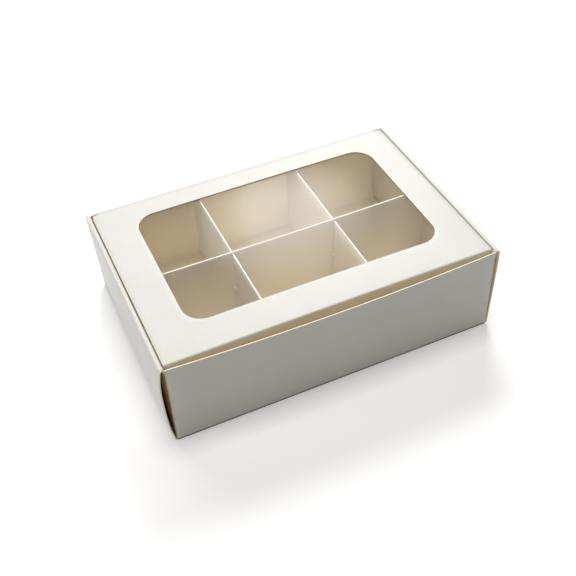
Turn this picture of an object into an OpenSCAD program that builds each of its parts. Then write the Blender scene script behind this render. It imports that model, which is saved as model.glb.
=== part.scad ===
// Bakery box of creased paperboard, closed: a tray with roll-over side walls, a windowed lid that
// tucks behind the front wall, and a slotted insert that makes six cells.
// The origin is the middle of the base. X runs along the front, Y to the back and Z up.

/* [Carton] */
// Length of the front wall between its side folds
box_l = 170; // [130:1:240]
// Depth from the face of the front wall to the face of the back wall
box_d = 119; // [95:1:170]
// Height of the walls
box_h = 50; // [38:1:80]
// Thickness of the paperboard
board_t = 0.5; // [0.35:0.05:0.6]
// Inside radius of a sharp fold
fold_r = 0.2; // [0.1:0.05:0.3]

/* [Side walls] */
// Width of the flat rim where a side wall rolls over
rim_w = 2.1; // [1.9:0.1:4]
// How far the rim's inner edge lies outside the ends of the front wall
rim_in = 0.1; // [0:0.05:0.6]
// Belly of the left outer panel at its front end
left_belly = 1.9; // [0:0.1:4]
// Belly of the right outer panel
right_belly = 0.2; // [0:0.1:4]
// Inward belly of both inner panels
inner_belly = 2.7; // [1.5:0.1:3.5]
// How far the foot of an inner panel lies inside the ends of the front wall
foot_in = 1.8; // [1.7:0.1:4]
// Room left between parts of the folded sheet that pass each other
fold_gap = 0.15; // [0.1:0.05:0.3]
// Width of a lock tab
tab_w = 20; // [12:1:30]
// Room round a lock tab in its slot
tab_gap = 0.3; // [0.2:0.05:0.35]

/* [Corner flaps] */
// Length of a corner flap from the wall that carries it
flap_l = 38; // [25:1:45]
// How far a flap stands out at its top, between the two panels of the side wall
flap_splay = 1.3; // [1.3:0.05:1.4]
// Length over which a flap swings out
flap_run = 5.5; // [4:0.5:6]
// Height of the cut that clears the rim at a flap's fold
flap_relief = 5; // [5:0.1:7]
// Slant of a flap's free end
flap_slant = 8; // [4:0.5:12]

/* [Front wall] */
// Outward bow of the front wall's top edge at its middle
front_bow = 2.5; // [0:0.1:5]

/* [Lid] */
// How far the lid lies below the rims
lid_drop = 0.25; // [0.1:0.05:0.6]
// Gap between the lid and each rim
lid_gap = 0.7; // [0.3:0.05:1]
// Distance from the face of the front wall to the lid's front fold
lid_inset = 3; // [2.5:0.1:5]
// Outside radius of the lid's front fold
lid_fold_r = 1; // [0.8:0.1:1.5]
// Rise of the lid's middle above its side edges
lid_arch = 0.9; // [0:0.1:1.5]
// Height of the tuck flap
tuck_h = 20; // [14:1:24]
// Lean of the tuck flap towards the inside, in degrees
tuck_lean = 4; // [2:0.5:8]
// Step at each end of the tuck flap's fold
tuck_step = 0.8; // [0.6:0.1:2]
// How much shorter the tuck flap is at each end of its lower edge
tuck_taper = 4.4; // [4.2:0.1:8]
// Radius of the tuck flap's corners
tuck_r = 9; // [5:0.5:12]
// Gap between the lid and the crease that it turns on
hinge_gap = 0.15; // [0.1:0.05:0.3]
// Cut at the lid's two rear corners
lid_corner = 1.2; // [1.1:0.1:3]

/* [Window] */
// Lid left of the window
frame_left = 18.8; // [12:0.1:30]
// Lid right of the window
frame_right = 16.6; // [12:0.1:30]
// Lid in front of the window, up to its fold
frame_front = 18.5; // [12:0.1:30]
// Lid behind the window
frame_back = 14.2; // [12:0.1:30]
// Radius of the window's corners
window_r = 10.5; // [3:0.5:20]
// Thickness of the clear film
film_t = 0.15; // [0.1:0.05:0.2]
// How far the film reaches past the window
film_lap = 8; // [4:0.5:10]
// Thickness of the glue line that holds the film
glue_t = 0.05; // [0.03:0.01:0.1]

/* [Insert] */
// Thickness of the divider board
divider_t = 0.8; // [0.4:0.05:0.9]
// Gap between the dividers' tops and the film
divider_drop = 0.8; // [0.6:0.1:4]
// Room at the ends of the dividers
divider_gap = 0.3; // [0.2:0.05:1]
// Room behind the cross dividers
back_gap = 1.2; // [0.3:0.1:3]
// Room on each side of a divider in its slot
slot_gap = 0.4; // [0.15:0.05:0.6]
// Further room in front of the long divider in the slots of the cross dividers
slot_play = 1; // [0:0.1:2]
// Bow of the long divider towards the front
long_bow = 0.8; // [0:0.1:2]
// Radius of the dividers' corners
divider_r = 1.5; // [0.5:0.5:4]

/* [Hidden] */

// Where the dividers stand, as shares of the box's length and depth
cross_shares = [0.329, 0.657];
long_share = 0.511;
// Where the lock tabs stand, as shares of half the depth
tab_shares = [-0.5, 0.5];
// Reach of the left belly at each station from front to back, as shares of the belly at the front
belly_shares = [1, 1.05, 1.05, 1, 0.9, 0.7, 0.45, 0.2, 0];
// How the front wall's bow grows with height
bow_power = 1.3;
// Share of the lid's arch that lies behind its front fold
arch_share = 0.93;

fold_steps = 5;
front_steps = 12;
panel_steps = 16;
wall_rows = 8;
lid_columns = 14;
lid_rows = 10;
corner_steps = 12;

// Folds
fold_o = fold_r + board_t;
fold_m = fold_r + board_t / 2;
lap = board_t * 0.4;
overrun = board_t * 4;
// Tray
half_l = box_l / 2;
half_d = box_d / 2;
side_out = board_t + fold_gap;
rim_out = rim_in + rim_w;
panel_top = box_h - fold_o;
panel_end = half_d - board_t - 2 * fold_gap;
tab_tip = board_t * 0.2;
inner_reach = inner_belly + foot_in + board_t;
// Hinge and lid
hinge_y = half_d - board_t / 2;
hinge_z = box_h - lid_drop - board_t / 2;
lid_start = hinge_y - board_t / 2 - hinge_gap;
lid_half = half_l + rim_in - lid_gap;
lid_front = lid_inset - half_d;
lid_flat_end = lid_front + lid_fold_r;
lid_fold_m = lid_fold_r - board_t / 2;
tuck_drop = tuck_h - lid_fold_r;
// Window
window_left = frame_left - lid_half;
window_right = lid_half - frame_right;
window_front = lid_front + frame_front;
window_back = hinge_y - frame_back;
// Insert
divider_top = hinge_z - board_t / 2 - glue_t - film_t - divider_drop;
divider_h = divider_top - board_t;
long_half = half_l - inner_clear() - divider_gap;
cross_front = lid_front + board_t + tuck_h * tan(tuck_lean) + divider_gap * 2;
cross_back = half_d - board_t - back_gap;

// A belly: 0 at both ends of a panel and 1 at its middle, full over most of its height
function belly(s) = 1 - pow(abs(2 * s - 1), 3);

// A smooth step from 0 to 1
function ease(s) = let (c = max(0, min(1, s))) c * c * (3 - 2 * c);

function between(a, b, s) = a + (b - a) * s;

function reversed(list) = [for (i = [len(list) - 1:-1:0]) list[i]];

function arc(centre, r, a, b, steps) =
    [for (i = [0:steps]) centre + r * [cos(between(a, b, i / steps)), sin(between(a, b, i / steps))]];

// Unit vector to the left of a flat path at its point i
function left_of(path, i) =
    let (d = path[min(i + 1, len(path) - 1)] - path[max(i - 1, 0)])
    [-d.y, d.x] / norm(d);

// The path moved sideways by gap, to its left where gap is above 0
function beside(path, gap) = [for (i = [0:len(path) - 1]) path[i] + gap * left_of(path, i)];

// The outline of a strip of board whose middle follows a flat path
function strip(path, t) = concat(beside(path, -t / 2), reversed(beside(path, t / 2)));

// A rectangle with round corners, from its lowest to its highest corner
function round_rect(low, high, r, steps) =
    concat(
        arc([high.x - r, high.y - r], r, 0, 90, steps),
        arc([low.x + r, high.y - r], r, 90, 180, steps),
        arc([low.x + r, low.y + r], r, 180, 270, steps),
        arc([high.x - r, low.y + r], r, 270, 360, steps)
    );

// A closed curved sheet between two grids of points that face each other
module sheet(face, back) {
    rows = len(face);
    columns = len(face[0]);
    count = rows * columns;
    cells = [for (i = [0:rows - 2]) for (j = [0:columns - 2]) i * columns + j];
    border = concat(
        [for (i = [0:rows - 1]) i * columns],
        [for (j = [1:columns - 1]) (rows - 1) * columns + j],
        [for (i = [rows - 2:-1:0]) i * columns + columns - 1],
        [for (j = [columns - 2:-1:1]) j]
    );
    polyhedron(
        points = concat([for (row = face) each row], [for (row = back) each row]),
        faces = concat(
            [for (k = cells) each [[k, k + 1, k + columns + 1], [k, k + columns + 1, k + columns]]],
            [for (k = cells)
                each [
                    [count + k, count + k + columns + 1, count + k + 1],
                    [count + k, count + k + columns, count + k + columns + 1]
                ]],
            [for (i = [0:len(border) - 1])
                let (a = border[i], b = border[(i + 1) % len(border)])
                each [[a, b, count + b], [a, count + b, count + a]]]
        ),
        convexity = 6
    );
}

// Middle line of a side wall's section: [distance outside the front wall's end, height, half depth].
// It starts on the base and runs up the outer panel, over the rim and down the inner panel.
function side_section(outer_belly) =
    let (
        wide = half_d - fold_o,
        base_fold = arc([side_out - fold_o, fold_o], fold_m, -90, 0, fold_steps),
        outer_fold = arc([rim_out - fold_o, panel_top], fold_m, 0, 90, fold_steps),
        inner_fold = arc([rim_in + fold_o, panel_top], fold_m, 90, 180, fold_steps),
        top_in = rim_in + board_t / 2
    )
    concat(
        [[-fold_o - lap, board_t / 2, wide]],
        [for (p = base_fold) [p.x, p.y, wide]],
        [for (i = [1:panel_steps - 1])
            let (s = i / panel_steps)
            [
                between(side_out, rim_out, s) - board_t / 2 + outer_belly * belly(s),
                between(fold_o, panel_top, s),
                half_d
            ]],
        [for (i = [0:fold_steps]) [outer_fold[i].x, outer_fold[i].y, half_d]],
        [for (i = [0:fold_steps]) [inner_fold[i].x, inner_fold[i].y, panel_end]],
        [for (i = [1:panel_steps])
            let (s = i / panel_steps)
            [
                between(top_in, board_t / 2 - foot_in, s) - inner_belly * belly(s),
                between(panel_top, tab_tip, s),
                panel_end
            ]]
    );

// One row of a side wall's grid, offset from the middle line, at a share of the depth from -1 to 1
function side_row(section, gap, share) =
    let (moved = beside([for (p = section) [p.x, p.y]], gap))
    [for (i = [0:len(section) - 1]) [half_l + moved[i].x, share * section[i].z, moved[i].y]];

// How far inside the front wall's end the inner panel's belly comes
function inner_clear() =
    max([for (p = side_section(0)) -p.x]) + board_t / 2;

// A roll-over side wall, on the right. belly_by_row gives the outer panel's belly from front to back.
module side_wall(belly_by_row) {
    rows = len(belly_by_row) - 1;
    sections = [for (b = belly_by_row) side_section(b)];
    foot_z = board_t + fold_gap;
    cut_x = half_l - (fold_o + lap + foot_in - board_t) / 2;
    tabs = concat([[-half_d, -half_d]],
        [for (s = tab_shares) [s * half_d - tab_w / 2, s * half_d + tab_w / 2]],
        [[half_d, half_d]]);
    difference() {
        sheet(
            [for (i = [0:rows]) side_row(sections[i], -board_t / 2, 2 * i / rows - 1)],
            [for (i = [0:rows]) side_row(sections[i], board_t / 2, 2 * i / rows - 1)]
        );
        for (i = [0:len(tabs) - 2])
            translate([cut_x - inner_reach, tabs[i][1], -overrun])
                cube([inner_reach, tabs[i + 1][0] - tabs[i][1], overrun + foot_z]);
    }
}

// Height of the cut that lets a corner flap pass under the rim, at a distance from the wall's face
function flap_top(d) = box_h - between(flap_relief, board_t + 3 * fold_gap, min(1, (d - fold_o) / flap_run));

// Stations along the right half of an end wall seen from above, from x_start to its flap's free end:
// [x, y, share of the splay, lowest z, highest z]
function wall_stations(x_start, steps, top) =
    let (
        corner_x = half_l - fold_o,
        corner_y = fold_o - half_d,
        flap_x = half_l - board_t / 2,
        foot = board_t + 2 * fold_gap,
        run = [for (i = [1:fold_steps]) fold_o + flap_run * i / fold_steps]
    )
    concat(
        [for (i = [0:steps]) [between(x_start, corner_x, i / steps), board_t / 2 - half_d, 0, fold_o, top]],
        [for (i = [1:fold_steps])
            let (a = 90 * i / fold_steps)
            [
                corner_x + fold_m * sin(a), corner_y - fold_m * cos(a), 0, max(foot, fold_o),
                i < fold_steps ? top : flap_top(fold_o)
            ]],
        [for (d = run) [flap_x, d - half_d, ease((d - fold_o) / flap_run), foot, flap_top(d)]],
        [[flap_x, flap_l - flap_slant - half_d, 1, foot, flap_top(flap_l)]],
        [[flap_x, flap_l - half_d, 1, foot + flap_slant, flap_top(flap_l) - flap_slant]]
    );

function mirrored(stations) = [for (s = reversed(stations)) [-s[0], s[1], s[2], s[3], s[4]]];

// One row of an end wall's grid. Row 0 is the lower edge and row 1 lies a lap above it.
function wall_row(stations, row, bow) =
    [for (s = stations)
        let (
            z = row == 0 ? s[3] : between(s[3] + lap, s[4], (row - 1) / (wall_rows - 1)),
            rise = max(0, z - fold_o - lap) / (box_h - fold_o - lap),
            along = min(1, abs(s[0]) / (half_l - fold_o)),
            out = s[2] * flap_splay * z / box_h
        )
        [s[0] + sign(s[0]) * out, s[1] - bow * (1 - along * along) * pow(rise, bow_power), z]];

// The same row moved sideways by gap, to the left of its way as seen from above
function row_beside(row, gap) =
    let (plan = beside([for (p = row) [p.x, p.y]], gap))
    [for (i = [0:len(row) - 1]) [plan[i].x, plan[i].y, row[i].z]];

// A standing sheet whose middle follows the stations
module standing_sheet(stations, bow) {
    rows = [for (k = [0:wall_rows]) wall_row(stations, k, bow)];
    sheet([for (r = rows) row_beside(r, board_t / 2)], [for (r = rows) row_beside(r, -board_t / 2)]);
}

// Front wall with its two corner flaps
module front_wall() {
    half = wall_stations(0, front_steps, box_h);
    standing_sheet(concat(mirrored([for (i = [1:len(half) - 1]) half[i]]), half), front_bow);
}

// The two corner flaps of the back wall
module back_flaps() {
    half = wall_stations(half_l - fold_o - lap, 1, hinge_z);
    mirror([0, 1, 0]) {
        standing_sheet(half, 0);
        standing_sheet(mirrored(half), 0);
    }
}

// Base, with the foot of the front wall and the back wall up to the crease that the lid turns on
module base_and_back() {
    path = concat(
        [[board_t / 2 - half_d, fold_o + lap]],
        arc([fold_o - half_d, fold_o], fold_m, 180, 270, fold_steps),
        arc([half_d - fold_o, fold_o], fold_m, 270, 360, fold_steps),
        [[hinge_y, hinge_z]]
    );
    crease = arc([hinge_y, hinge_z], board_t / 2, 0, 180, fold_steps * 2);
    reach = half_l - fold_o;
    slot_x = half_l - foot_in - tab_gap;
    slot_w = board_t + 2 * tab_gap;
    slot_l = tab_w + 2 * tab_gap;
    difference() {
        translate([-reach, 0, 0])
            rotate([90, 0, 90])
                linear_extrude(2 * reach)
                    polygon(concat(
                        beside(path, -board_t / 2),
                        [for (i = [1:len(crease) - 2]) crease[i]],
                        reversed(beside(path, board_t / 2))
                    ));
        for (side = [-1, 1])
            for (s = tab_shares)
                translate([side * (slot_x + slot_w / 2) - slot_w / 2, s * half_d - slot_l / 2, -overrun])
                    cube([slot_w, slot_l, 2 * overrun]);
    }
}

// The folded tray: one sheet of board
module carton_tray() {
    color([0.90, 0.89, 0.86]) {
        base_and_back();
        front_wall();
        back_flaps();
        side_wall([for (s = belly_shares) right_belly]);
        mirror([1, 0, 0]) side_wall([for (s = belly_shares) left_belly * s]);
    }
}

// Height of the lid's middle layer over its flat part
function lid_z(x, y) =
    let (
        v = max(0, (lid_start - y) / (lid_start - lid_flat_end)),
        across = x / lid_half
    )
    hinge_z + lid_arch * belly(arch_share * v) * (1 - across * across);

// Half the length of the tuck flap at a depth below its fold
function tuck_half(depth) =
    let (
        edge = lid_half - tuck_step - tuck_taper * min(1, 2 * depth / tuck_drop),
        into = max(0, depth - tuck_drop + tuck_r)
    )
    edge - tuck_r + sqrt(tuck_r * tuck_r - into * into);

// Middle line of the lid seen from its end, from the hinge over the front fold to the tuck flap's edge:
// [y, height above the hinge, half length]
function lid_path() =
    let (
        fold = arc([lid_flat_end, -lid_fold_m], lid_fold_m, 90, 180 + tuck_lean, fold_steps + 1),
        fold_end = fold[len(fold) - 1],
        down = [sin(tuck_lean), -cos(tuck_lean)],
        depths = concat(
            [for (i = [0:4]) (tuck_drop - tuck_r) * i / 4],
            [for (i = [1:6]) tuck_drop - tuck_r + tuck_r * sin(15 * i) * 0.995]
        )
    )
    concat(
        [[lid_start, 0, lid_half - lid_corner], [lid_start - lid_corner, 0, lid_half]],
        [for (i = [1:lid_rows - 1]) [between(lid_start, lid_flat_end, i / lid_rows), 0, lid_half]],
        [for (p = fold) [p.x, p.y, lid_half]],
        [for (d = depths) let (p = fold_end + down * (d + lap)) [p.x, p.y, tuck_half(d)]]
    );

// One column-wise row of the lid's grid
function lid_row(path, moved, i) =
    [for (j = [-lid_columns / 2:lid_columns / 2])
        let (share = 2 * j / lid_columns)
        [path[i].z * share, moved[i].x, moved[i].y + lid_z(share * lid_half, max(path[i].x, lid_flat_end))]];

// Lid with its window, its front fold and its tuck flap
module lid() {
    path = lid_path();
    flat = [for (p = path) [p.x, p.y]];
    top = beside(flat, -board_t / 2);
    under = beside(flat, board_t / 2);
    color([0.94, 0.93, 0.90])
        difference() {
            sheet(
                [for (i = [0:len(path) - 1]) lid_row(path, top, i)],
                [for (i = [0:len(path) - 1]) lid_row(path, under, i)]
            );
            translate([0, 0, hinge_z - overrun])
                linear_extrude(lid_arch + 2 * overrun)
                    polygon(round_rect([window_left, window_front], [window_right, window_back],
                        window_r, corner_steps));
        }
}

// Clear film glued under the lid
module window_film() {
    low = [window_left - film_lap, window_front - film_lap];
    high = [window_right + film_lap, window_back + film_lap];
    drop = board_t / 2 + glue_t;
    top = [for (i = [0:lid_rows])
        [for (j = [0:lid_columns])
            let (x = between(low.x, high.x, j / lid_columns), y = between(high.y, low.y, i / lid_rows))
            [x, y, lid_z(x, y) - drop]]];
    color([0.80, 0.88, 0.92, 0.35])
        sheet(top, [for (row = top) [for (p = row) p - [0, 0, film_t]]]);
}

// Place of the long divider's middle at a place along the box
function long_y(x) = box_d * (long_share - 0.5) - long_bow * (1 - pow(x / long_half, 2));

function cross_x(k) = box_l * (cross_shares[k] - 0.5);

// Long divider, slotted from below over the cross dividers
module long_divider() {
    steps = 12;
    path = [for (i = [0:steps]) let (x = between(-long_half, long_half, i / steps)) [x, long_y(x)]];
    slot_w = divider_t + 2 * slot_gap;
    color([0.93, 0.91, 0.86])
        intersection() {
            translate([0, 0, board_t])
                linear_extrude(divider_h)
                    polygon(strip(path, divider_t));
            translate([0, half_d, board_t])
                rotate([90, 0, 0])
                    linear_extrude(box_d)
                        difference() {
                            polygon(round_rect([-long_half, 0], [long_half, divider_h], divider_r,
                                fold_steps));
                            for (k = [0, 1])
                                translate([cross_x(k) - slot_w / 2, -overrun])
                                    square([slot_w, overrun + divider_h / 2 + slot_gap]);
                        }
        }
}

// Cross divider k, slotted from above over the long divider
module cross_divider(k) {
    slot_w = divider_t + 2 * slot_gap + slot_play;
    slot_y = long_y(cross_x(k)) - slot_play / 2;
    color([0.94, 0.92, 0.88])
        translate([cross_x(k) - divider_t / 2, 0, board_t])
            rotate([90, 0, 90])
                linear_extrude(divider_t)
                    difference() {
                        polygon(round_rect([cross_front, 0], [cross_back, divider_h], divider_r,
                            fold_steps));
                        translate([slot_y - slot_w / 2, divider_h / 2 - slot_gap])
                            square([slot_w, divider_h]);
                    }
}

module cross_divider_left() {
    cross_divider(0);
}

module cross_divider_right() {
    cross_divider(1);
}

carton_tray();
lid();
window_film();
long_divider();
cross_divider_left();
cross_divider_right();
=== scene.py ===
"""Looks of the bakery box: the folded paperboard tray, the windowed lid, the clear film and the insert.

Each board is grown as a single bent surface, fold by fold, and then given its thickness. Lengths are metres.
The origin is the middle of the base, X runs along the front wall, Y to the back and Z up.
"""

import math

import bmesh
import bpy
from mathutils import Matrix, Quaternion, Vector
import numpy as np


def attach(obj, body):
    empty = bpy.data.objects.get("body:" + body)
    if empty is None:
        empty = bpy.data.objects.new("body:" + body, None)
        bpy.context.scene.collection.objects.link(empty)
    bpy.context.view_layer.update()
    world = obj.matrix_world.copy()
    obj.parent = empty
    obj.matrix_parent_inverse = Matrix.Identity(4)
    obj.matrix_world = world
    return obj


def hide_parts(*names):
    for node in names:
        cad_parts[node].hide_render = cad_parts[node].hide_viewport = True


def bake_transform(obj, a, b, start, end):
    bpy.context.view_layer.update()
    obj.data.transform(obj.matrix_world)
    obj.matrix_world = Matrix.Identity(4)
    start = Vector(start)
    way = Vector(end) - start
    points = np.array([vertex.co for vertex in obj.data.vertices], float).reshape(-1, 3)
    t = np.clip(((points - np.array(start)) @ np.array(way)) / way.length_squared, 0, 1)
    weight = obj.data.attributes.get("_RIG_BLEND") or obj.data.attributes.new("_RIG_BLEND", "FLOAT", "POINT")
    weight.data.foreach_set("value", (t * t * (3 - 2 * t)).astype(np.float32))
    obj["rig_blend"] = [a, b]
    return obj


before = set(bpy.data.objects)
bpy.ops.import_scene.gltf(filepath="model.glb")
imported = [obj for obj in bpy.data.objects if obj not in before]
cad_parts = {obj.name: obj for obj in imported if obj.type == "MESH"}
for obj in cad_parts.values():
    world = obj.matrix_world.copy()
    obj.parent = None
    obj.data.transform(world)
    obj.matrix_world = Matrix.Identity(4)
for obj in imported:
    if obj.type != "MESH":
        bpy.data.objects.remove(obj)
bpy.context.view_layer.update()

MM = 0.001
NEAR = 0.001 * MM

# Carton
BOX_L = 170 * MM
BOX_D = 119 * MM
BOX_H = 50 * MM
BOARD_T = 0.5 * MM
FOLD_GAP = 0.15 * MM
FOLD_OUTER = 0.7 * MM
FOLD_MIDDLE = FOLD_OUTER - BOARD_T / 2
LAP = 0.2 * MM
CUT_SHARE = 0.2
HALF_L = BOX_L / 2
HALF_D = BOX_D / 2
BASE_L = HALF_L - FOLD_OUTER
BASE_D = HALF_D - FOLD_OUTER
PANEL_TOP = BOX_H - FOLD_OUTER

# Side walls
SIDE_OUT = BOARD_T + FOLD_GAP
RIM_IN = 0.1 * MM
RIM_OUT = 2.2 * MM
LEFT_BELLY = 1.88 * MM
RIGHT_BELLY = 0.2 * MM
INNER_BELLY = 2.7 * MM
FOOT_IN = 1.8 * MM
PANEL_END = HALF_D - BOARD_T - 2 * FOLD_GAP
TAB_TIP = 0.1 * MM
TAB_W = 20 * MM
TAB_GAP = 0.3 * MM
TAB_SHARES = (-0.5, 0.5)
BELLY_SHARES = (1, 1.05, 1.05, 1, 0.9, 0.7, 0.45, 0.2, 0)

# Front wall and corner flaps
FRONT_BOW = 2.5 * MM
BOW_POWER = 1.3
FLAP_L = 38 * MM
FLAP_SPLAY = 1.3 * MM
FLAP_RUN = 5.5 * MM
FLAP_RELIEF = 5 * MM
FLAP_SLANT = 8 * MM

# Lid
HINGE_Y = HALF_D - BOARD_T / 2
HINGE_Z = 49.5 * MM
STRIP_FOOT = HINGE_Z - 1.2 * MM
STRIP_END = HINGE_Y - 1.65 * MM
LID_START = HINGE_Y - BOARD_T / 2 - 0.15 * MM
LID_HALF = 84.4 * MM
LID_FOLD_R = 0.75 * MM
LID_FLAT_END = -55.5 * MM
LID_ARCH = 0.88 * MM
ARCH_SHARE = 0.93
TUCK_DROP = 19 * MM
TUCK_LEAN = 4
TUCK_STEP = 0.8 * MM
TUCK_TAPER = 4.4 * MM
TUCK_R = 9 * MM
WINDOW_LOW = Vector((-65.6, -38)) * MM
WINDOW_HIGH = Vector((67.8, 45.05)) * MM
WINDOW_R = 10.5 * MM
FILM_T = 0.15 * MM
FILM_LAP = 8 * MM
GLUE_T = 0.05 * MM

# Insert
DIVIDER_T = 0.8 * MM
DIVIDER_TOP = 48.25 * MM
DIVIDER_H = DIVIDER_TOP - BOARD_T
DIVIDER_R = 1.5 * MM
LONG_REACH = 80.95 * MM
LONG_SHARE = 0.511
LONG_BOW = 0.8 * MM
CROSS_SHARES = (0.329, 0.657)
CROSS_FRONT = -54.0 * MM
CROSS_BACK = HALF_D - BOARD_T - 1.2 * MM
SLOT_GAP = 0.4 * MM
SLOT_PLAY = 1 * MM
SLOT_W = DIVIDER_T + 2 * SLOT_GAP

# Floor, a hair below the base, so that the two never lie in one plane
FLOOR_DROP = 0.1 * MM

# Steps of the surfaces
BASE_COLUMNS = 32
BASE_ROWS = 24
PANEL_ROWS = 18
WALL_ROWS = 12
FOLD_STEPS = 6
SHOULDER = 0.5 * MM


def ease(share):
    """A smooth step from 0 to 1."""
    share = max(0, min(1, share))
    return share * share * (3 - 2 * share)


def belly(share):
    """0 at both ends of a panel and 1 at its middle, full over most of its height."""
    return 1 - abs(2 * share - 1) ** 3


def along_list(values, share):
    """A smooth value between the entries of a list, at a share of its length."""
    last = len(values) - 1
    place = max(0, min(1, share)) * last
    i = min(int(place), last - 1)
    t = place - i
    before, start, end, after = (values[max(0, min(last, i + k))] for k in (-1, 0, 1, 2))
    slope_in = (end - before) / 2
    slope_out = (after - start) / 2
    return (
        start * (2 * t**3 - 3 * t**2 + 1)
        + slope_in * (t**3 - 2 * t**2 + t)
        + end * (3 * t**2 - 2 * t**3)
        + slope_out * (t**3 - t**2)
    )


def lid_rise(x, y):
    """How far the lid's arch stands above the hinge."""
    v = max(0, (LID_START - max(y, LID_FLAT_END)) / (LID_START - LID_FLAT_END))
    return LID_ARCH * belly(ARCH_SHARE * v) * (1 - (x / LID_HALF) ** 2)


class Value:
    """A socket of a finish's nodes. Python's operators on it add Math nodes."""

    def __init__(self, finish, socket):
        self.finish = finish
        self.socket = socket

    def math(self, operation, first, second):
        return self.finish.node("ShaderNodeMath", {"operation": operation}, {0: first, 1: second})

    def __add__(self, other):
        return self.math("ADD", self, other)

    def __radd__(self, other):
        return self.math("ADD", other, self)

    def __sub__(self, other):
        return self.math("SUBTRACT", self, other)

    def __rsub__(self, other):
        return self.math("SUBTRACT", other, self)

    def __mul__(self, other):
        return self.math("MULTIPLY", self, other)

    def __rmul__(self, other):
        return self.math("MULTIPLY", other, self)

    def __pow__(self, other):
        return self.math("POWER", self, other)


class Finish:
    """A material in the making."""

    def __init__(self, name, **constants):
        self.material = bpy.data.materials.new(name)
        self.material.use_nodes = True
        self.tree = self.material.node_tree
        self.shader = self.tree.nodes["Principled BSDF"]
        for socket, value in constants.items():
            self.shader.inputs[socket.replace("_", " ")].default_value = value

    def node(self, kind, settings=None, inputs=None, output=0):
        """Adds a node: its settings first, then the values or links of its sockets."""
        made = self.tree.nodes.new(kind)
        for name, value in (settings or {}).items():
            if name == "stops":
                self.set_stops(made.color_ramp, value)
            else:
                setattr(made, name, value)
        for name, value in (inputs or {}).items():
            self.set_socket(made.inputs[name], value)
        return Value(self, made.outputs[output])

    def set_stops(self, ramp, stops):
        while len(ramp.elements) < len(stops):
            ramp.elements.new(1)
        for element, (place, colour) in zip(ramp.elements, stops):
            element.position = place
            element.color = colour

    def set_socket(self, socket, value):
        if isinstance(value, Value):
            self.tree.links.new(value.socket, socket)
        else:
            socket.default_value = value

    def set(self, name, value):
        self.set_socket(self.shader.inputs[name], value)

    def place(self):
        return self.node("ShaderNodeTexCoord", output="Object")

    def noise(self, scale, detail=3, stretch=(1, 1, 1)):
        """Noise from 0 to 1, of so many waves to the metre, drawn out along an axis by a small stretch."""
        vector = self.place()
        if stretch != (1, 1, 1):
            vector = self.node("ShaderNodeMapping", inputs={"Vector": vector, "Scale": stretch})
        return self.node("ShaderNodeTexNoise", inputs={"Vector": vector, "Scale": scale, "Detail": detail})

    def range(self, value, low, high, to_low=0, to_high=1):
        inputs = {"Value": value, "From Min": low, "From Max": high, "To Min": to_low, "To Max": to_high}
        return self.node("ShaderNodeMapRange", inputs=inputs)

    def height(self):
        return self.node("ShaderNodeSeparateXYZ", inputs={"Vector": self.place()}, output="Z")

    def distance(self, centre=(0, 0, 0)):
        """How far a place on the piece is from a point."""
        inputs = {0: self.place(), 1: centre}
        return self.node("ShaderNodeVectorMath", {"operation": "DISTANCE"}, inputs, output="Value")

    def attribute(self, name):
        return self.node("ShaderNodeAttribute", {"attribute_name": name}, output="Fac")

    def mix(self, share, first, second):
        inputs = {0: share, 6: first, 7: second}
        return self.node("ShaderNodeMix", {"data_type": "RGBA"}, inputs, output=2)

    def bump(self, height, distance, strength=1.0):
        inputs = {"Height": height, "Distance": distance, "Strength": strength}
        self.set("Normal", self.node("ShaderNodeBump", inputs=inputs))


def board_finish(name, pale, deep, worn, roughness, tooth, foot_shadow=0):
    """A face of paperboard: cloudy formation, long fibres, a fine tooth, and paler cracks along its folds.
    Parts that lie between others get painted bounce light, a warm tan, and from a share of 0.6 a painted brown shade;
    a face can also get a painted contact shadow, a dark line at its foot."""
    finish = Finish(name, Specular_IOR_Level=0.35)
    clouds = finish.noise(55, 4)
    fibres = finish.noise(900, 3, (1, 0.22, 1))
    grain = finish.noise(5200, 2)
    crease = finish.attribute("crease")
    shade = finish.range(clouds * 0.6 + fibres * 0.4, 0.36, 0.64)
    # Painted light: this share mixes in a warm tan that stands for light bounced between board faces, and from 0.6 up
    # a painted brown shade.
    warmth = finish.attribute("warmth")
    face = finish.mix(warmth, finish.mix(shade, deep, pale), PAINTED_BOUNCE_TAN)
    face = finish.mix(finish.range(warmth, 0.6, 1), face, PAINTED_SHADE_BROWN)
    cracks = finish.range(finish.noise(2600, 2, (0.3, 1, 1)), 0.46, 0.6)
    face = finish.mix(crease * (0.35 + cracks * 0.45), face, worn)
    # Painted contact shadow: a dark line near the foot of the face, from about 0.05 to 1.7 mm up.
    if foot_shadow:
        height = finish.height()
        foot = finish.range(height, 0.05 * MM, 0.3 * MM) * finish.range(height, 0.9 * MM, 1.7 * MM, 1, 0)
        face = finish.mix(foot * foot_shadow, face, PAINTED_FOOT_SHADOW)
    finish.set("Base Color", face)
    finish.set("Roughness", roughness + fibres * 0.1 + crease * 0.12)
    finish.bump(fibres * 0.7 + grain * 0.3 + cracks * crease * 0.8, tooth)
    return finish.material


def edge_finish(name, pale, deep):
    """The cut edge of board: bare fibre, with short streaks left by the knife."""
    finish = Finish(name, Specular_IOR_Level=0.2)
    streaks = finish.noise(3000, 3, (0.4, 0.4, 1))
    finish.set("Base Color", finish.mix(finish.range(streaks, 0.35, 0.65), deep, pale))
    finish.set("Roughness", 0.82 + streaks * 0.12)
    finish.bump(streaks, 0.03 * MM)
    return finish.material


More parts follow.
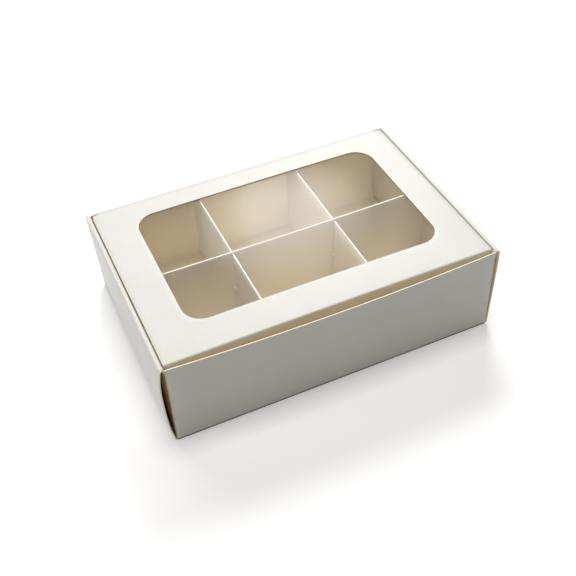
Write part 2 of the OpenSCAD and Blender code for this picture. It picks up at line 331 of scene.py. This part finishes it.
def film_finish(name):
    """Clear plastic film, with faint waves, a trace of dust, and a painted glare about its middle: a pale veil that
    stands for light reflected off the film.
    """
    finish = Finish(name, Specular_IOR_Level=0.25, IOR=1.5)
    waves = finish.noise(38, 2)
    dust = finish.range(finish.noise(1500, 4), 0.62, 0.75)
    # Painted reflection: the film is paler and less clear within about 52 mm of a point near its middle.
    painted_glare = finish.range(finish.distance(PAINTED_GLARE_MIDDLE), 15 * MM, 52 * MM, 1, 0)
    finish.set("Base Color", finish.mix(dust, (0.86, 0.83, 0.82, 1), (0.9, 0.9, 0.88, 1)))
    finish.set("Roughness", 0.14 + dust * 0.2)
    finish.set("Alpha", 0.03 + painted_glare * 0.08 + dust * 0.05)
    finish.bump(waves, 0.25 * MM)
    return finish.material


# Painted light colours: a warm tan for light bounced between board faces, and a brown for painted shade.
PAINTED_BOUNCE_TAN = (0.87, 0.7, 0.43, 1)
PAINTED_SHADE_BROWN = (0.4, 0.27, 0.14, 1)
# Colour of the painted contact shadow at the foot of a wall.
PAINTED_FOOT_SHADOW = (0.05, 0.045, 0.035, 1)
# Middle of the painted glare on the film.
PAINTED_GLARE_MIDDLE = Vector((2, 18, 49)) * MM
# The coated face takes the painted contact shadow at its foot, at a share of 0.95.
COATED = board_finish(
    "coated_face", (0.552, 0.543, 0.511, 1), (0.531, 0.521, 0.486, 1), (0.62, 0.61, 0.582, 1), 0.4, 0.012 * MM, 0.95
)
UNCOATED = board_finish(
    "bare_face", (0.94, 0.845, 0.64, 1), (0.925, 0.82, 0.6, 1), (0.95, 0.89, 0.77, 1), 0.7, 0.03 * MM
)
INSERT = board_finish(
    "insert_face", (0.87, 0.81, 0.71, 1), (0.855, 0.79, 0.675, 1), (0.93, 0.9, 0.84, 1), 0.6, 0.02 * MM
)
CUT_EDGE = edge_finish("cut_edge", (0.84, 0.79, 0.66, 1), (0.76, 0.69, 0.54, 1))
# Painted shade: the window's cut edge is a dark brown, far darker than the board's cream cut edges, for the shadow
# along the window.
SHADED_WINDOW_EDGE = edge_finish("window_edge_painted_shade", (0.25, 0.19, 0.12, 1), (0.18, 0.13, 0.08, 1))
INSERT_EDGE = edge_finish("insert_edge", (0.88, 0.855, 0.79, 1), (0.82, 0.785, 0.71, 1))
CLEAR_FILM = film_finish("clear_film")
BOARD_FINISHES = (COATED, UNCOATED, CUT_EDGE)
LID_FINISHES = (COATED, UNCOATED, SHADED_WINDOW_EDGE)
INSERT_FINISHES = (INSERT, INSERT, INSERT_EDGE)


class Board:
    """A sheet that grows from a line of edges by flat runs and by folds towards its inside."""

    def __init__(self, bm, edges, heading, outside):
        self.bm = bm
        self.edges = edges
        self.heading = Vector(heading)
        self.outside = Vector(outside)
        self.crease = bm.verts.layers.float["crease"]

    def verts(self):
        return list({vert for edge in self.edges for vert in edge.verts})

    def run(self, length, steps=1):
        """Goes on flat. Gives the new vertices of each row with the row's share of the run."""
        marks = {i / steps for i in range(1, steps + 1)}
        if length > 4 * SHOULDER:
            marks |= {SHOULDER / length, 1 - SHOULDER / length}
        rows = []
        reached = 0
        for mark in sorted(marks):
            made = bmesh.ops.extrude_edge_only(self.bm, edges=self.edges)["geom"]
            fresh = [item for item in made if isinstance(item, bmesh.types.BMVert)]
            self.edges = self.edges_among(made, set(fresh))
            bmesh.ops.translate(self.bm, verts=fresh, vec=self.heading * length * (mark - reached))
            reached = mark
            for vert in fresh:
                vert[self.crease] = 0
            rows.append((mark, fresh))
        return rows

    def fold(self, degrees, radius, steps=FOLD_STEPS):
        """Folds towards the inside round a line at a radius from the middle of the sheet."""
        known = set(self.bm.verts)
        start = self.verts()
        for vert in start:
            vert[self.crease] = 1
        centre = start[0].co - self.outside * radius
        axis = self.heading.cross(-self.outside)
        angle = math.radians(degrees)
        made = bmesh.ops.spin(
            self.bm, geom=start + self.edges, cent=centre, axis=axis, angle=angle, steps=steps
        )["geom_last"]
        self.edges = [item for item in made if isinstance(item, bmesh.types.BMEdge)]
        turn = Quaternion(axis, angle)
        self.heading.rotate(turn)
        self.outside.rotate(turn)
        fresh = [vert for vert in self.bm.verts if vert not in known]
        for vert in fresh:
            vert[self.crease] = 1
        return fresh

    def edges_among(self, made, fresh):
        return [item for item in made if isinstance(item, bmesh.types.BMEdge) and set(item.verts) <= fresh]


def new_sheet():
    bm = bmesh.new()
    bm.verts.layers.float.new("crease")
    bm.verts.layers.float.new("warmth")
    return bm


def paint_shade(bm, verts, share):
    """Gives part of a sheet a share of painted shade: a warm tan for bounced light, and from 0.6 up a brown shade."""
    layer = bm.verts.layers.float["warmth"]
    for vert in verts:
        vert[layer] = share


def flat_grid(bm, columns, rows, low, high, right, up, corner):
    """A flat sheet of squares. low and high are its corners along right and up, from corner."""
    made = bmesh.ops.create_grid(bm, x_segments=columns, y_segments=rows, size=0.5)["verts"]
    for vert in made:
        x = low[0] + (high[0] - low[0]) * (vert.co.x + 0.5)
        y = low[1] + (high[1] - low[1]) * (vert.co.y + 0.5)
        vert.co = Vector(corner) + Vector(right) * x + Vector(up) * y
    return made


def edges_where(bm, test):
    return [edge for edge in bm.edges if all(test(vert.co) for vert in edge.verts)]


def cut_away(bm, faces, low, high):
    """Cuts a box-shaped piece out of some faces. An axis that isn't cut has None for both of its ends."""
    for axis in range(3):
        for value in (low[axis], high[axis]):
            if value is None:
                continue
            place = Vector([value if k == axis else 0 for k in range(3)])
            normal = Vector([1 if k == axis else 0 for k in range(3)])
            parts = {item for face in faces for item in (*face.verts, *face.edges)}
            made = bmesh.ops.bisect_plane(bm, geom=[*faces, *parts], plane_co=place, plane_no=normal, dist=NEAR)
            faces = [item for item in made["geom"] if isinstance(item, bmesh.types.BMFace)]
    def inside(point):
        return all(
            (low[k] is None or point[k] > low[k]) and (high[k] is None or point[k] < high[k]) for k in range(3)
        )
    gone = [face for face in faces if inside(face.calc_center_median())]
    bmesh.ops.delete(bm, geom=gone, context="FACES")


def soften_cuts(mesh, reach):
    """Rounds the two borders of every cut edge a little, as a die crushes them."""
    bm = bmesh.new()
    bm.from_mesh(mesh)
    borders = [
        edge for edge in bm.edges
        if len(edge.link_faces) == 2 and sorted(face.material_index == 2 for face in edge.link_faces) == [False, True]
    ]
    bmesh.ops.bevel(
        bm, geom=borders, offset=reach, segments=2, affect="EDGES", profile=0.5, material=-1, clamp_overlap=True
    )
    bm.to_mesh(mesh)
    bm.free()


def finish_sheet(bm, name, thickness, finishes, outward, body, nodes):
    """Gives a bent sheet its thickness, half to each side, and hands it to its body.
    outward is a test face's side that is the sheet's outside: a point and a direction there."""
    bmesh.ops.recalc_face_normals(bm, faces=bm.faces)
    point, direction = Vector(outward[0]), Vector(outward[1])
    nearest = min(bm.faces, key=lambda face: (face.calc_center_median() - point).length)
    if nearest.normal.dot(direction) < 0:
        bmesh.ops.reverse_faces(bm, faces=bm.faces)
    mesh = bpy.data.meshes.new(name + "_middle")
    bm.to_mesh(mesh)
    bm.free()
    for finish in finishes:
        mesh.materials.append(finish)
    middle = bpy.data.objects.new(name + "_middle", mesh)
    bpy.context.scene.collection.objects.link(middle)
    wall = middle.modifiers.new("thickness", "SOLIDIFY")
    wall.thickness = thickness
    wall.offset = 0
    wall.use_even_offset = True
    wall.material_offset = 1
    wall.material_offset_rim = 2
    solid = bpy.data.meshes.new_from_object(middle.evaluated_get(bpy.context.evaluated_depsgraph_get()))
    bpy.data.objects.remove(middle)
    solid.name = name
    soften_cuts(solid, thickness * CUT_SHARE)
    solid.shade_smooth()
    solid.set_sharp_from_angle(angle=math.radians(40))
    piece = bpy.data.objects.new(name, solid)
    bpy.context.scene.collection.objects.link(piece)
    if body:
        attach(piece, body)
    if nodes:
        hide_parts(*nodes)
    return piece


def raise_side(bm, side, bellies):
    """A roll-over side wall: up the outer panel, across the rim and down the inner panel to its lock tabs."""
    wall = Board(
        bm,
        edges_where(bm, lambda co: abs(co.x - side * BASE_L) < NEAR and abs(co.y) < BASE_D + NEAR and co.z < BOARD_T),
        (side, 0, 0),
        (0, 0, -1),
    )
    wall.run(SIDE_OUT)
    wall.fold(90, FOLD_MIDDLE)
    outer = wall.run(PANEL_TOP - FOLD_OUTER, PANEL_ROWS)
    roll = wall.fold(90, FOLD_MIDDLE)
    rim = wall.run(RIM_OUT - RIM_IN - 2 * FOLD_OUTER, 2)
    turn = wall.fold(90, FOLD_MIDDLE)
    inner = wall.run(PANEL_TOP - TAB_TIP, PANEL_ROWS)
    lean = RIM_OUT - SIDE_OUT
    top_in = RIM_IN + BOARD_T / 2
    foot = BOARD_T / 2 - FOOT_IN
    wide = HALF_D / BASE_D
    narrow = PANEL_END / BASE_D
    for share, row in outer:
        for vert in row:
            swell = along_list(bellies, vert.co.y / BASE_D / 2 + 0.5) * belly(share)
            vert.co.x += side * (lean * share + swell)
            vert.co.y *= wide
    for vert in roll:
        vert.co.x += side * lean
        vert.co.y *= wide
    for share, row in rim:
        for vert in row:
            vert.co.x += side * lean
            vert.co.y *= wide + (narrow - wide) * share
    for vert in turn:
        vert.co.x += side * lean
        vert.co.y *= narrow
    for share, row in inner:
        for vert in row:
            vert.co.x += side * (lean + (foot - top_in) * share - INNER_BELLY * belly(share))
            vert.co.y *= narrow
        # Painted bounce light: the inner panel gets half of the warm tan.
        paint_shade(bm, row, 0.5)
    ends = [-HALF_D, HALF_D]
    for share in TAB_SHARES:
        ends += [share * HALF_D - TAB_W / 2, share * HALF_D + TAB_W / 2]
    ends.sort()
    for low, high in zip(ends[::2], ends[1::2]):
        row = {vert for _, verts in inner for vert in verts if vert.is_valid}
        faces = list({face for vert in row for face in vert.link_faces if set(face.verts) <= row})
        cut_away(bm, faces, (None, low, None), (None, high, BOARD_T + FOLD_GAP))


def flap_top(distance, top):
    """Height of a corner flap's upper edge at a distance from the wall's face."""
    drop = FLAP_RELIEF + (BOARD_T + 3 * FOLD_GAP - FLAP_RELIEF) * min(1, (distance - FOLD_OUTER) / FLAP_RUN)
    return min(top, BOX_H - drop)


def corner_flap(bm, side, end, top):
    """The flap that folds in from an end wall, between the two panels of the side wall."""
    face_y = end * (HALF_D - BOARD_T / 2)
    flap = Board(
        bm,
        edges_where(
            bm,
            lambda co: abs(co.x - side * BASE_L) < NEAR and abs(co.y - face_y) < NEAR and co.z > FOLD_OUTER - NEAR,
        ),
        (side, 0, 0),
        (0, end, 0),
    )
    fresh = flap.fold(90, FOLD_MIDDLE)
    for length, steps in (
        (FLAP_RUN, 5),
        (FLAP_L - FLAP_SLANT - FLAP_RUN - FOLD_OUTER, 5),
        (FLAP_SLANT, 3),
    ):
        for _, row in flap.run(length, steps):
            fresh += row
    # Painted shade: the corner flap gets the full warm tan and the brown shade.
    paint_shade(bm, fresh, 1)
    foot = BOARD_T + 2 * FOLD_GAP
    for vert in fresh:
        distance = HALF_D - end * vert.co.y
        share = (vert.co.z - FOLD_OUTER) / (top - FOLD_OUTER)
        slant = max(0, distance - FLAP_L + FLAP_SLANT)
        high = flap_top(distance, top) - slant if distance > FOLD_OUTER - NEAR else top
        vert.co.z = foot + slant + (high - foot - slant) * share
        swing = ease((distance - FOLD_OUTER) / FLAP_RUN)
        vert.co.x += side * FLAP_SPLAY * swing * vert.co.z / BOX_H


def raise_end(bm, end, top, bow):
    """The front or back wall, with its two corner flaps."""
    wall = Board(
        bm,
        edges_where(bm, lambda co: abs(co.y - end * BASE_D) < NEAR and co.z < BOARD_T and abs(co.x) < BASE_L + NEAR),
        (0, end, 0),
        (0, 0, -1),
    )
    wall.fold(90, FOLD_MIDDLE)
    rows = wall.run(top - FOLD_OUTER, WALL_ROWS)
    for side in (-1, 1):
        corner_flap(bm, side, end, top)
    for _, row in rows:
        for vert in row:
            rise = max(0, vert.co.z - FOLD_OUTER - LAP) / (BOX_H - FOLD_OUTER - LAP)
            vert.co.y += end * bow * (1 - (vert.co.x / BASE_L) ** 2) * rise**BOW_POWER


def make_tray():
    bm = new_sheet()
    base = bmesh.ops.create_grid(bm, x_segments=BASE_COLUMNS, y_segments=BASE_ROWS, size=1)["verts"]
    bmesh.ops.scale(bm, vec=(BASE_L, BASE_D, 1), verts=base)
    bmesh.ops.translate(bm, vec=(0, 0, BOARD_T / 2), verts=base)
    floor_faces = list(bm.faces)
    raise_end(bm, -1, BOX_H, FRONT_BOW)
    raise_end(bm, 1, STRIP_FOOT, 0)
    raise_side(bm, 1, [RIGHT_BELLY for _ in BELLY_SHARES])
    raise_side(bm, -1, [LEFT_BELLY * share for share in BELLY_SHARES])
    slot_in = HALF_L - FOOT_IN - TAB_GAP
    slot_out = slot_in + BOARD_T + 2 * TAB_GAP
    for side in (-1, 1):
        for share in TAB_SHARES:
            low_x, high_x = sorted((side * slot_in, side * slot_out))
            middle = share * HALF_D
            reach = TAB_W / 2 + TAB_GAP
            floor_faces = [face for face in bm.faces if all(vert.co.z < BOARD_T for vert in face.verts)
                           and abs(face.calc_center_median().x) < BASE_L]
            cut_away(bm, floor_faces, (low_x, middle - reach, None), (high_x, middle + reach, None))
    return finish_sheet(
        bm, "tray_board", BOARD_T, BOARD_FINISHES, ((0, 0, 0), (0, 0, -1)), "tray", ["carton_tray"]
    )


def ring_place(k, steps, corner_steps, ring_share):
    """A point of the lid's frame between the window, at share 0, and the lid's edge, at share 1."""
    quarter, j = divmod(k, steps)
    def corner(q, s):
        q = q % 4
        start = Vector((math.cos(q * math.pi / 2), math.sin(q * math.pi / 2)))
        end = Vector((-start.y, start.x))
        sign = start + end
        edge = Vector((LID_HALF if sign.x > 0 else -LID_HALF, STRIP_END if sign.y > 0 else LID_FLAT_END))
        window = Vector((
            (WINDOW_HIGH if sign.x > 0 else WINDOW_LOW).x - sign.x * WINDOW_R,
            (WINDOW_HIGH if sign.y > 0 else WINDOW_LOW).y - sign.y * WINDOW_R,
        ))
        angle = s * math.pi / 2
        inner = window + WINDOW_R * (start * math.cos(angle) + end * math.sin(angle))
        outer = window + start * (edge - window).dot(start) * min(1, 2 - 2 * s) + end * (edge - window).dot(end) * min(1, 2 * s)
        return inner.lerp(outer, ring_share)
    if j <= corner_steps:
        return corner(quarter, j / corner_steps)
    return corner(quarter, 1).lerp(corner(quarter + 1, 0), (j - corner_steps) / (steps - corner_steps))


def tuck_half(depth):
    """Half the length of the tuck flap at a depth below its fold."""
    edge = LID_HALF - TUCK_STEP - TUCK_TAPER * min(1, 2 * depth / TUCK_DROP)
    into = max(0, depth - TUCK_DROP + TUCK_R)
    return edge - TUCK_R + math.sqrt(max(0, TUCK_R**2 - into**2))


def make_lid():
    bm = new_sheet()
    corner_steps = 12
    steps = corner_steps + 12
    rings = 8
    made = bmesh.ops.create_grid(bm, x_segments=4 * steps, y_segments=rings, size=0.5)["verts"]
    for vert in made:
        k = round((vert.co.x + 0.5) * 4 * steps)
        flat = ring_place(k, steps, corner_steps, vert.co.y + 0.5)
        vert.co = (flat.x, flat.y, HINGE_Z)
    bmesh.ops.remove_doubles(bm, verts=bm.verts, dist=NEAR)
    for vert in bm.verts:
        if abs(vert.co.x) > LID_HALF - NEAR and vert.co.y > STRIP_END - NEAR:
            vert.co -= Vector((math.copysign(0.6 * MM, vert.co.x), 0.6 * MM, 0))
    tuck = Board(bm, edges_where(bm, lambda co: abs(co.y - LID_FLAT_END) < NEAR), (0, -1, 0), (0, 0, 1))
    tuck.fold(90 + TUCK_LEAN, LID_FOLD_R, 8)
    rows = tuck.run(LAP)
    rows = [(0, rows[0][1])] + tuck.run(TUCK_DROP - TUCK_R, 5)
    shaped = [(share * (TUCK_DROP - TUCK_R), row) for share, row in rows]
    rounding = tuck.run(TUCK_R, 10)
    shaped += [(TUCK_DROP - TUCK_R + TUCK_R * share, row) for share, row in rounding]
    for depth, row in shaped:
        for vert in row:
            vert.co.x *= tuck_half(min(depth, TUCK_DROP - 0.05 * MM)) / LID_HALF
        # Painted bounce light: the tuck flap gets a little of the warm tan.
        paint_shade(bm, row, 0.3)
    for vert in bm.verts:
        vert.co.z += lid_rise(vert.co.x, vert.co.y)
    return finish_sheet(
        bm, "lid_board", BOARD_T, LID_FINISHES, ((0, WINDOW_LOW.y - 5 * MM, HINGE_Z), (0, 0, 1)), "lid", ["lid"],
    )


def make_crease():
    """The strip of board that runs from the back wall through the crease into the lid."""
    bm = new_sheet()
    columns = 28
    start = Vector((-BASE_L, HINGE_Y, STRIP_FOOT))
    line = [bm.verts.new(start + Vector((2 * BASE_L * i / columns, 0, 0))) for i in range(columns + 1)]
    edges = [bm.edges.new(pair) for pair in zip(line, line[1:])]
    strip = Board(bm, edges, (0, 0, 1), (0, 1, 0))
    strip.run(HINGE_Z - FOLD_MIDDLE - STRIP_FOOT, 2)
    strip.fold(90, FOLD_MIDDLE)
    strip.run(HINGE_Y - FOLD_MIDDLE - STRIP_END, 3)
    for vert in bm.verts:
        vert.co.z += lid_rise(vert.co.x, vert.co.y) if vert.co.z > HINGE_Z - NEAR else 0
    piece = finish_sheet(
        bm, "crease_strip", BOARD_T, BOARD_FINISHES, ((0, HINGE_Y, STRIP_FOOT), (0, 1, 0)), None, []
    )
    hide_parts("carton_tray")
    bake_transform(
        piece, "tray", "lid", start=(0, HINGE_Y, HINGE_Z - 0.8 * MM), end=(0, HINGE_Y - 1.25 * MM, HINGE_Z)
    )
    return piece


def make_film():
    bm = new_sheet()
    low = WINDOW_LOW - Vector((FILM_LAP, FILM_LAP))
    high = WINDOW_HIGH + Vector((FILM_LAP, FILM_LAP))
    flat_grid(bm, 32, 24, low, high, (1, 0, 0), (0, 1, 0), (0, 0, 0))
    for vert in bm.verts:
        vert.co.z = HINGE_Z + lid_rise(vert.co.x, vert.co.y) - BOARD_T / 2 - GLUE_T - FILM_T / 2
    return finish_sheet(
        bm, "clear_window", FILM_T, (CLEAR_FILM,), ((0, 0, HINGE_Z), (0, 0, 1)), "lid", ["window_film"]
    )


def long_place(x):
    """Where the bowed long divider stands, at a place along the box."""
    return BOX_D * (LONG_SHARE - 0.5) - LONG_BOW * (1 - (x / LONG_REACH) ** 2)


def round_top(bm):
    """Rounds the two upper corners of a standing sheet."""
    top = max(vert.co.z for vert in bm.verts)
    corners = [vert for vert in bm.verts if len(vert.link_edges) == 2 and vert.co.z > top - NEAR
               and len(vert.link_faces) == 1]
    bmesh.ops.bevel(
        bm, geom=corners, offset=DIVIDER_R, segments=4, affect="VERTICES", profile=0.5, material=-1
    )


def make_long_divider():
    bm = new_sheet()
    flat_grid(bm, 40, 8, (-LONG_REACH, 0), (LONG_REACH, DIVIDER_H), (1, 0, 0), (0, 0, 1), (0, 0, BOARD_T))
    round_top(bm)
    for share in CROSS_SHARES:
        middle = BOX_L * (share - 0.5)
        cut_away(
            bm, list(bm.faces), (middle - SLOT_W / 2, None, None),
            (middle + SLOT_W / 2, None, BOARD_T + DIVIDER_H / 2 + SLOT_GAP),
        )
    for vert in bm.verts:
        vert.co.y = long_place(vert.co.x)
    return finish_sheet(
        bm, "long_board", DIVIDER_T, INSERT_FINISHES, ((0, 0, HINGE_Z), (0, -1, 0)), "tray", ["long_divider"],
    )


def make_cross_divider(name, share):
    bm = new_sheet()
    middle = BOX_L * (share - 0.5)
    flat_grid(bm, 28, 8, (CROSS_FRONT, 0), (CROSS_BACK, DIVIDER_H), (0, 1, 0), (0, 0, 1), (middle, 0, BOARD_T))
    round_top(bm)
    slot = long_place(middle)
    cut_away(
        bm, list(bm.faces), (None, slot - SLOT_W / 2 - SLOT_PLAY, BOARD_T + DIVIDER_H / 2 - SLOT_GAP),
        (None, slot + SLOT_W / 2, None),
    )
    return finish_sheet(
        bm, name + "_board", DIVIDER_T, INSERT_FINISHES, ((middle, 0, HINGE_Z), (-1, 0, 0)), "tray", [name],
    )


def make_floor():
    """A pale sweep that glows a little, and more with the distance from the box, so that it ends in plain white."""
    finish = Finish("pale_floor", Specular_IOR_Level=0.2, Emission_Strength=1)
    cloud = finish.noise(3, 2)
    glow = finish.range(finish.distance(), 0.5, 1.6, 0.34, 0.9)
    finish.set("Base Color", finish.mix(cloud, (0.63, 0.63, 0.635, 1), (0.65, 0.65, 0.65, 1)))
    finish.set("Emission Color", finish.mix(glow, (0, 0, 0, 1), (1, 1, 1, 1)))
    finish.set("Roughness", 0.7 + cloud * 0.1)
    bm = bmesh.new()
    grid = bmesh.ops.create_grid(bm, x_segments=1, y_segments=1, size=4)["verts"]
    bmesh.ops.translate(bm, vec=(0, 0, -FLOOR_DROP), verts=grid)
    mesh = bpy.data.meshes.new("floor")
    bm.to_mesh(mesh)
    bm.free()
    mesh.materials.append(finish.material)
    floor = bpy.data.objects.new("floor", mesh)
    bpy.context.scene.collection.objects.link(floor)


def area_light(name, place, aim, size, power, colour):
    data = bpy.data.lights.new(name, "AREA")
    data.shape = "RECTANGLE"
    data.size, data.size_y = size
    data.energy = power
    data.color = colour
    lamp = bpy.data.objects.new(name, data)
    lamp.location = place
    lamp.rotation_mode = "QUATERNION"
    lamp.rotation_quaternion = (Vector(aim) - Vector(place)).to_track_quat("-Z", "Y")
    bpy.context.scene.collection.objects.link(lamp)


def make_studio():
    scene = bpy.context.scene
    world = bpy.data.worlds.new("studio")
    world.use_nodes = True
    world.node_tree.nodes["Background"].inputs["Color"].default_value = (1, 1, 1, 1)
    world.node_tree.nodes["Background"].inputs["Strength"].default_value = 0.02
    scene.world = world
    area_light("left softbox", (-1.0, 0.12, 0.8), (0, 0.02, 0), (0.4, 0.6), 1.5, (0.98, 1, 0.99))
    area_light("low left softbox", (-1.2, 0.1, 0.15), (0, 0, 0), (0.5, 0.2), 3.6, (0.92, 0.96, 1))
    area_light("rear softbox", (0, 0.95, 0.97), (0, 0, 0), (1.2, 0.5), 10, (1, 1, 0.99))
    area_light("rear right softbox", (0.52, 0.9, 0.93), (0, 0, 0.05), (0.5, 0.35), 11, (0.97, 1, 0.99))
    area_light("top softbox", (0, 0, 0.9), (0, 0, 0), (0.3, 0.3), 4.2, (1, 0.97, 0.96))
    area_light("front softbox", (-0.2, -0.6, 0.95), (0, 0, 0), (0.5, 0.3), 1.1, (1, 0.87, 0.6))
    scene.view_settings.view_transform = "Standard"
    scene.view_settings.look = "None"
    scene.view_settings.exposure = 0
    scene.view_settings.gamma = 1


def make_camera():
    data = bpy.data.cameras.new("camera")
    data.sensor_width = 36
    data.lens = 58.03
    camera = bpy.data.objects.new("camera", data)
    camera.location = Vector((-134.6, -325.3, 354.9)) * MM
    camera.rotation_mode = "QUATERNION"
    look = Vector((0.2729, 0.66144, -0.69859))
    roll = Quaternion((0, 0, 1), math.radians(-2.955))
    camera.rotation_quaternion = look.to_track_quat("-Z", "Y") @ roll
    data.clip_start = 0.01
    bpy.context.scene.collection.objects.link(camera)
    bpy.context.scene.camera = camera


make_tray()
make_lid()
make_crease()
make_film()
make_long_divider()
make_cross_divider("cross_divider_left", CROSS_SHARES[0])
make_cross_divider("cross_divider_right", CROSS_SHARES[1])
make_floor()
make_studio()
make_camera()
